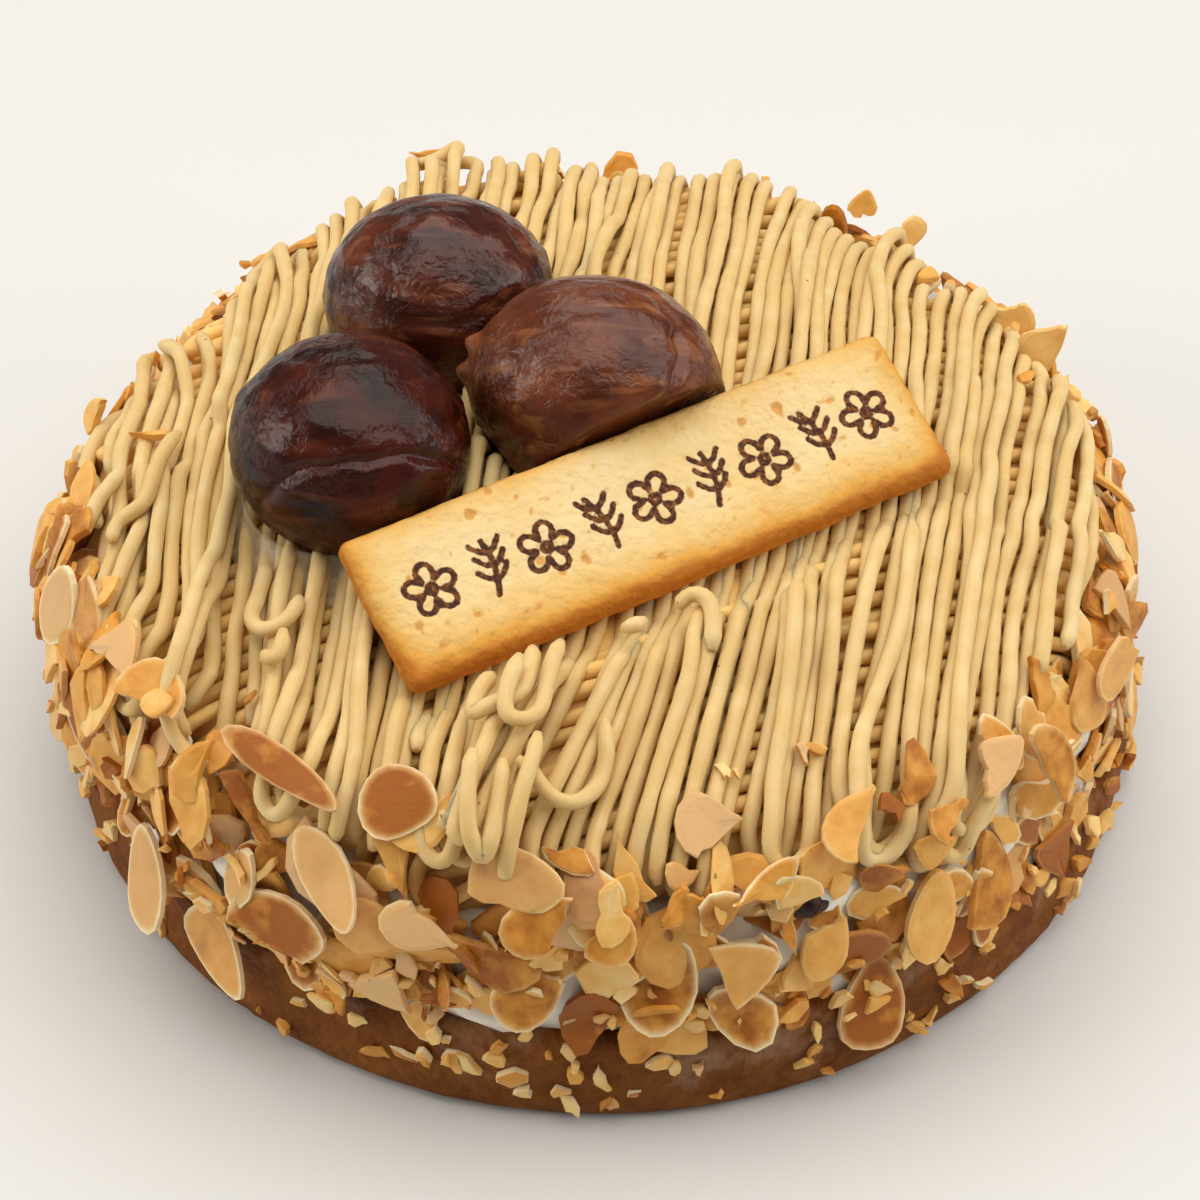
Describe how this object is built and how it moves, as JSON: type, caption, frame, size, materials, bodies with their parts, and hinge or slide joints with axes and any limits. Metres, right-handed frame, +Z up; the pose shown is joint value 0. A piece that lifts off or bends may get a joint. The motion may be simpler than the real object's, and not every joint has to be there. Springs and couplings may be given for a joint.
{
  "type": "mont blanc cake",
  "caption": "Round mont blanc cake: tart base, cream side with almond slices, strands of chestnut paste on top, glazed chestnuts and an oblong biscuit.",
  "frame": {"origin": "middle of the round foot, in the plane that the cake rests on", "axes": "+Z up; -Y towards the side that the picture shows nearest, +X to the picture's right"},
  "size_m": [0.1545, 0.1526, 0.0737],
  "materials": {
    "baked_pastry": "baked, matt, slightly pitted",
    "white_cream": "soft, slightly glossy, with browned almond slices fused on",
    "chestnut_paste": "smooth extruded paste, satin",
    "glazed_chestnut": "syrup glaze, glossy",
    "pale_biscuit": "baked, matt, browned towards its lower edge"
  },
  "bodies": {
    "root": {"tart_base": "baked_pastry", "cream": "white_cream", "chestnut_noodles": "chestnut_paste", "chestnut_left": "glazed_chestnut", "chestnut_back": "glazed_chestnut", "chestnut_right": "glazed_chestnut", "chestnut_chip": "glazed_chestnut", "biscuit_plaque": "pale_biscuit"}
  },
  "joints": []
}
